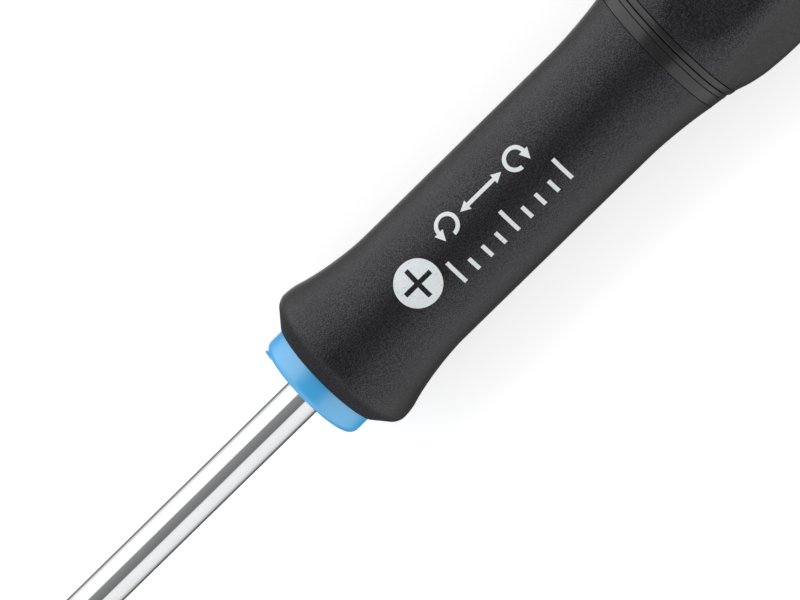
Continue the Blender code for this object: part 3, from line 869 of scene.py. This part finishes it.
def makeBearing():
    shape = bearingShape
    steel = finishes["bearing"]
    lowerFront = span("lower_race")[0]
    upperBack = span("upper_race")[1]
    lower = turnProfile(raceCorners(lowerFront, 1), 96, 4)
    upper = turnProfile(raceCorners(upperBack, -1), 96, 4)
    finishPiece("housingRace", lower, steel, "handle", "bearing_steel", "lower_race")
    finishPiece("capRace", upper, steel, "cap", "bearing_steel", "upper_race")
    front, back, outer = span("ball_cage")
    inner = shape["bore"] + shape["cageMargin"]
    edge = shape["cageEdge"]
    corners = [(front, inner, edge), (front, outer, edge), (back, outer, edge), (back, inner, edge)]
    cage = turnProfile(corners, 96, 3)
    centres = ballCentres()
    radius = span("ball_1")[2]
    pockets = bmesh.new()
    for centre in centres:
        bmesh.ops.create_cone(
            pockets,
            cap_ends=True,
            segments=40,
            radius1=radius + shape["grooveRoom"],
            radius2=radius + shape["grooveRoom"],
            depth=3 * (back - front),
            matrix=Matrix.Translation(centre) @ Matrix.Rotation(math.pi / 2, 4, "Y"),
        )
    cage = combine(cage, pockets, "DIFFERENCE")
    finishPiece("brassCage", cage, finishes["brass"], "ball_train", "cage_brass", "ball_cage")
    for number, centre in enumerate(centres, 1):
        ball = bmesh.new()
        bmesh.ops.create_icosphere(ball, subdivisions=4, radius=radius, matrix=Matrix.Translation(centre))
        finishPiece(f"bearingBall{number}", ball, steel, "ball_train", "bearing_steel", f"ball_{number}")


pinShape = {
    "chamfer": 0.3 * mm,
    "edge": 0.08 * mm,
    "grooveDepth": 0.35 * mm,
    "grooveEdge": 0.04 * mm,
}


def makePin():
    shape = pinShape
    edge = shape["edge"]
    start, end, radius = span("pivot_pin")
    clipFront, clipBack, _ = span("retaining_clip")
    groove = radius - shape["grooveDepth"]
    corners = [
        (start, 0.0),
        (start, radius - shape["chamfer"], edge),
        (start + shape["chamfer"], radius, edge),
        (clipFront - seatGap, radius, shape["grooveEdge"]),
        (clipFront - seatGap, groove),
        (clipBack + seatGap, groove),
        (clipBack + seatGap, radius, shape["grooveEdge"]),
        (end - shape["chamfer"], radius, edge),
        (end, radius - shape["chamfer"], edge),
        (end, 0.0),
    ]
    bm = turnProfile(corners, 72, 4)
    finishPiece("pivotPin", bm, finishes["pin"], "handle", "pin_steel", "pivot_pin")
    front, back, outer = span("thrust_washer")
    bore = bearingShape["bore"]
    corners = [(front, bore), (front, outer, edge), (back, outer, edge), (back, bore)]
    washer = turnProfile(corners, 96, 4)
    finishPiece("thrustWasher", washer, finishes["pin"], "handle", "pin_steel", "thrust_washer")


clipShape = {
    "mouth": math.radians(70.0),
    "edge": 0.04 * mm,
}


def makeClip():
    # A flat ring with an open mouth, sprung into the pin's groove.
    low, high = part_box("retaining_clip")
    front, back, radius = low.x, high.x, high.z - axisHeight
    bore = span("pivot_pin")[2] - pinShape["grooveDepth"] + fitGap
    bm = bmesh.new()
    corners = [(front, bore), (front, radius), (back, radius), (back, bore)]
    section = bm.faces.new([bm.verts.new((along, 0.0, out)) for along, out in corners])
    bmesh.ops.spin(
        bm,
        geom=[section],
        cent=(0.0, 0.0, 0.0),
        axis=(1.0, 0.0, 0.0),
        angle=math.tau - clipShape["mouth"],
        steps=60,
    )
    bmesh.ops.recalc_face_normals(bm, faces=bm.faces)
    bmesh.ops.translate(bm, verts=bm.verts, vec=(0.0, 0.0, axisHeight))
    clip = finishPiece("springClip", bm, finishes["spring"], "handle", "pin_steel", "retaining_clip")
    edges = clip.modifiers.new("edges", "BEVEL")
    edges.width = clipShape["edge"]
    edges.segments = 2


capShape = {
    "flangeWidth": 0.6 * mm,
    "bodyRadius": 6.2 * mm,
    "neckBore": 5.4 * mm,
    "neckRoom": 0.4 * mm,
    "housingBore": 4.15 * mm,
    "pocketRadius": 3.3 * mm,
    "pinBore": 1.55 * mm,
    "discBore": 5.45 * mm,
    "frontRadius": 8.1 * mm,
    "flangeSlope": 0.42 * mm,  # along the axis, at the flange's front edge
    "flangeDrop": 0.14 * mm,
    "flangeRound": 0.2 * mm,
    "flangeEdge": 0.05 * mm,
    "flangeSeam": 1.5 * seamGap,
    "shellEdge": 0.1 * mm,
    "sleeveEdge": 0.06 * mm,
    "edgeRadius": 9.2 * mm,
    "shoulder": 2.4 * mm,  # from the sleeve's front to where the swell flattens
    "shoulderDrop": 0.3 * mm,
    "shoulderRound": 1.4 * mm,
    "swell": 6.0 * mm,
    "swellRound": 1.2 * mm,
    "bands": 9,  # rings of points along the straight part, for the flats
    "endRound": 2.2 * mm,
    "flatBlend": 0.25 * mm,
    "wall": 0.3 * mm,  # points closer to the bore than this stay round
}


def makeCapShell():
    shape = capShape
    front, end, _ = span("cap_shell")
    sleeveFront = span("cap_sleeve")[0]
    flangeBack = sleeveFront - shape["flangeSeam"]
    discSeat = span("cap_disc")[1] - discShape["thickness"] - seatGap
    webFront = span("upper_race")[1] + seatGap
    webBack = span("thrust_washer")[0] - seatGap
    neckEnd = span("handle_core")[1] + shape["neckRoom"]
    corners = [
        (front, shape["neckBore"]),
        (front, shape["frontRadius"] - shape["flangeDrop"], shape["flangeEdge"]),
        (front + shape["flangeSlope"], shape["frontRadius"], shape["flangeRound"]),
        (flangeBack, shape["frontRadius"], shape["flangeEdge"]),
        (flangeBack, shape["bodyRadius"]),
        (end, shape["bodyRadius"], shape["shellEdge"]),
        (end, shape["discBore"]),
        (discSeat, shape["discBore"]),
        (discSeat, shape["pocketRadius"]),
        (webBack, shape["pocketRadius"]),
        (webBack, shape["pinBore"]),
        (webFront, shape["pinBore"]),
        (webFront, shape["housingBore"]),
        (neckEnd, shape["housingBore"]),
        (neckEnd, shape["neckBore"]),
    ]
    bm = turnProfile(corners, 128, 5)
    start = front + shape["flangeWidth"] + coreShape["ribMargin"]
    stop = span("cap_sleeve")[1] - coreShape["ribMargin"]
    root = shape["bodyRadius"] - coreShape["ribRoot"]
    ribs = ribBlocks(shape["bodyRadius"], start, stop, coreShape["ribHeight"], coreShape["ribWidth"], root)
    bm = combine(bm, ribs, "UNION")
    finishPiece("capShell", bm, finishes["core"], "cap", "core_black", "cap_shell")


def pressFlats(bm, distance, blend, bore):
    # Presses six flats into a round body. What stands out of a flat is moved back to it, softly.
    for vert in bm.verts:
        if Vector((vert.co.y, vert.co.z - axisHeight)).length <= bore:
            continue
        for number in range(6):
            angle = number * math.pi / 3
            outward = Vector((0.0, math.sin(angle), math.cos(angle)))
            over = (vert.co - Vector((vert.co.x, 0.0, axisHeight))).dot(outward) - distance
            if over > -4 * blend:
                vert.co -= outward * (over + math.sqrt(over * over + blend * blend)) / 2


def makeCapSleeve():
    shape = capShape
    front, end, _ = span("cap_sleeve")
    bore = shape["bodyRadius"] + fitGap
    corners = [
        (front, bore),
        (front, shape["frontRadius"], shape["sleeveEdge"]),
        (front + shape["shoulder"], shape["edgeRadius"] - shape["shoulderDrop"], shape["shoulderRound"]),
        (front + shape["swell"], shape["edgeRadius"], shape["swellRound"]),
    ]
    length = end - shape["endRound"] - front - shape["swell"]
    for step in range(1, shape["bands"]):
        corners.append((front + shape["swell"] + length * step / shape["bands"], shape["edgeRadius"]))
    corners.append((end, shape["edgeRadius"], shape["endRound"]))
    corners.append((end, bore))
    bm = turnProfile(corners, 180, 10)
    pressFlats(bm, axisHeight, shape["flatBlend"], bore + shape["wall"])
    start = front + coreShape["ribMargin"] - 2 * fitGap
    stop = end - coreShape["ribMargin"] + fitGap
    bm = cutKeyways(bm, shape["bodyRadius"], start, stop)
    finishPiece("capSleeve", bm, finishes["cap"], "cap", "cap_black", "cap_sleeve")


discShape = {
    "thickness": 1.3 * mm,
    "plugRadius": 3.15 * mm,
    "plugEdge": 0.15 * mm,
    "chamfer": 0.15 * mm,
    "grooveRadius": 4.3 * mm,
    "grooveWidth": 0.25 * mm,
    "grooveDepth": 0.15 * mm,
    "symbolRadius": 2.6 * mm,
    "symbolArm": 3.6 * mm,
    "symbolWidth": 0.6 * mm,
}


def makeEndDisc():
    shape = discShape
    plugEnd, face, radius = span("cap_disc")
    seat = face - shape["thickness"]
    groove = shape["grooveRadius"]
    floor = face - shape["grooveDepth"]
    corners = [
        (plugEnd, 0.0),
        (plugEnd, shape["plugRadius"], shape["plugEdge"]),
        (seat, shape["plugRadius"]),
        (seat, radius),
        (face - shape["chamfer"], radius),
        (face, radius - shape["chamfer"]),
        (face, groove + shape["grooveWidth"]),
        (floor, groove + 0.7 * shape["grooveWidth"]),
        (floor, groove + 0.3 * shape["grooveWidth"]),
        (face, groove),
        (face, 0.0),
    ]
    bm = turnProfile(corners, 128, 4)
    finishPiece("endDisc", bm, finishes["disc"], "cap", "disc_black", "cap_disc")
    symbol = bmesh.new()
    driveSymbol(symbol, (0.0, 0.0), shape["symbolRadius"], shape["symbolArm"], shape["symbolWidth"])
    bmesh.ops.solidify(symbol, geom=symbol.faces[:], thickness=printLayout["thickness"])
    low = min(vert.co.z for vert in symbol.verts)
    seat = Matrix.Translation((face - printLayout["sink"], 0.0, axisHeight))
    upright = Matrix.Rotation(math.pi / 2, 4, "Y") @ Matrix.Translation((0.0, 0.0, -low))
    bmesh.ops.transform(symbol, matrix=seat @ upright, verts=symbol.verts)
    bmesh.ops.recalc_face_normals(symbol, faces=symbol.faces)
    finishPiece("endSymbol", symbol, finishes["ink"], "cap", "disc_black")


studio = {
    "floorSize": 6.0,
    "floorDrop": 0.02 * mm,
    "floorGlow": 0.44,  # a light table's own light
    # Brightness by direction round the tool's axis: 0 is straight up and 90 towards +Y.
    "sides": [
        (-180, 0.10),
        (-150, 0.10),
        (-133, 0.28),
        (-118, 0.95),
        (-98, 1.35),
        (-60, 1.48),
        (-32, 1.42),
        (-28, 0.27),
        (0, 0.35),
        (26, 0.44),
        (30, 1.72),
        (60, 1.98),
        (98, 1.85),
        (118, 1.20),
        (133, 0.38),
        (150, 0.12),
        (180, 0.10),
    ],
    # Brightness by height, beyond the tool's two ends.
    "ends": [(-1.0, 0.03), (-0.6, 0.06), (-0.25, 1.1), (0.45, 1.1), (0.8, 0.25), (1.0, 0.25)],
    "endBlend": (0.3, 0.9),
}


def makeFloor():
    bm = bmesh.new()
    bmesh.ops.create_grid(bm, x_segments=8, y_segments=8, size=studio["floorSize"] / 2)
    bmesh.ops.translate(bm, verts=bm.verts, vec=(0.0, 0.0, -studio["floorDrop"]))
    mesh = bpy.data.meshes.new("floor")
    bm.to_mesh(mesh)
    bm.free()
    finish = Finish(
        "paleFloor",
        Roughness=0.9,
        Specular_IOR_Level=0.1,
        Emission_Color=(1.0, 1.0, 1.0, 1.0),
        Emission_Strength=studio["floorGlow"],
    )
    patches = finish.noise(0.4, 2.0)
    finish.colour(finish.mixColour(patches, (0.88, 0.88, 0.88, 1.0), (0.91, 0.91, 0.91, 1.0)))
    mesh.materials.append(finish.material)
    floor = bpy.data.objects.new("floor", mesh)
    bpy.context.scene.collection.objects.link(floor)
    floor.visible_glossy = False  # the metal mirrors the studio's own gradient below the horizon


def makeLight():
    # Long soft boxes on both sides of the tool with a dimmer gap overhead, all in the world's colour.
    world = bpy.data.worlds.new("studio")
    bpy.context.scene.world = world
    world.use_nodes = True
    tree = world.node_tree
    background = tree.nodes["Background"]
    direction = tree.nodes.new("ShaderNodeTexCoord").outputs["Generated"]
    parts = tree.nodes.new("ShaderNodeSeparateXYZ")
    tree.links.new(direction, parts.inputs[0])

    def maths(operation, first, second=0.0, third=0.0):
        node = tree.nodes.new("ShaderNodeMath")
        node.operation = operation
        for socket, value in zip(node.inputs, (first, second, third)):
            if isinstance(value, bpy.types.NodeSocket):
                tree.links.new(value, socket)
            else:
                socket.default_value = value
        return node.outputs[0]

    def ramp(value, low, high, levels):
        # Brightness along a list of (value, level) pairs.
        node = tree.nodes.new("ShaderNodeValToRGB")
        tree.links.new(maths("DIVIDE", maths("SUBTRACT", value, low), high - low), node.inputs["Fac"])
        stops = node.color_ramp.elements
        brightest = max(level for _, level in levels)
        for number, (at, level) in enumerate(levels):
            position = (at - low) / (high - low)
            stop = stops[number] if number < 1 else stops.new(position)
            stop.position = position
            stop.color = (level / brightest, level / brightest, level / brightest, 1.0)
        stops.remove(stops[len(stops) - 1])
        return maths("MULTIPLY", node.outputs["Color"], brightest)

    angle = maths("MULTIPLY", maths("ARCTAN2", parts.outputs["Y"], parts.outputs["Z"]), 360.0 / math.tau)
    sides = ramp(angle, -180.0, 180.0, studio["sides"])
    ends = ramp(parts.outputs["Z"], -1.0, 1.0, studio["ends"])
    blend = tree.nodes.new("ShaderNodeMapRange")
    blend.interpolation_type = "SMOOTHSTEP"
    tree.links.new(maths("ABSOLUTE", parts.outputs["X"]), blend.inputs["Value"])
    blend.inputs["From Min"].default_value, blend.inputs["From Max"].default_value = studio["endBlend"]
    share = blend.outputs["Result"]
    rest = maths("SUBTRACT", 1.0, share)
    glow = maths("ADD", maths("MULTIPLY", sides, rest), maths("MULTIPLY", ends, share))
    path = tree.nodes.new("ShaderNodeLightPath").outputs["Is Camera Ray"]
    seen = maths("MULTIPLY_ADD", path, maths("SUBTRACT", 1.0, glow), glow)
    tree.links.new(seen, background.inputs["Strength"])
    background.inputs["Color"].default_value = (1.0, 1.0, 1.0, 1.0)
    bpy.context.scene.view_settings.view_transform = "Standard"


cameraSet = {
    "lean": math.radians(9.4),  # the camera stands a little towards the cap
    "roll": math.radians(44.4),  # the tool runs from lower left to upper right
    "distance": 630.0 * mm,
    "lens": 292.5,
    "aim": 10.09 * mm,  # behind the grip's front
    "aside": 0.085 * mm,
}


def makeCamera():
    shot = cameraSet
    along = Vector((math.cos(shot["lean"]), 0.0, -math.sin(shot["lean"])))
    back = Vector((math.sin(shot["lean"]), 0.0, math.cos(shot["lean"])))
    left = Vector((0.0, 1.0, 0.0))
    right = along * math.cos(shot["roll"]) - left * math.sin(shot["roll"])
    up = along * math.sin(shot["roll"]) + left * math.cos(shot["roll"])
    data = bpy.data.cameras.new("camera")
    data.lens = shot["lens"]
    data.sensor_width = 36.0
    data.clip_start = 0.01
    camera = bpy.data.objects.new("camera", data)
    bpy.context.scene.collection.objects.link(camera)
    aim = Vector((gripFront + shot["aim"], shot["aside"], axisHeight))
    turn = Matrix((right, up, back)).transposed().to_4x4()
    camera.matrix_world = Matrix.Translation(aim + back * shot["distance"]) @ turn
    bpy.context.scene.camera = camera


print("setting the stage")
makeFloor()
makeLight()
makeCamera()

print("making the blade and ring")
makeBlade()
makeRing()

print("making the handle")
makeCore()
softGrip = makeGrip()
makePrint(softGrip)
makeSlideRing()

print("making the bearing and pivot")
makeBearing()
makePin()
makeClip()

print("making the cap")
makeCapShell()
makeCapSleeve()
makeEndDisc()
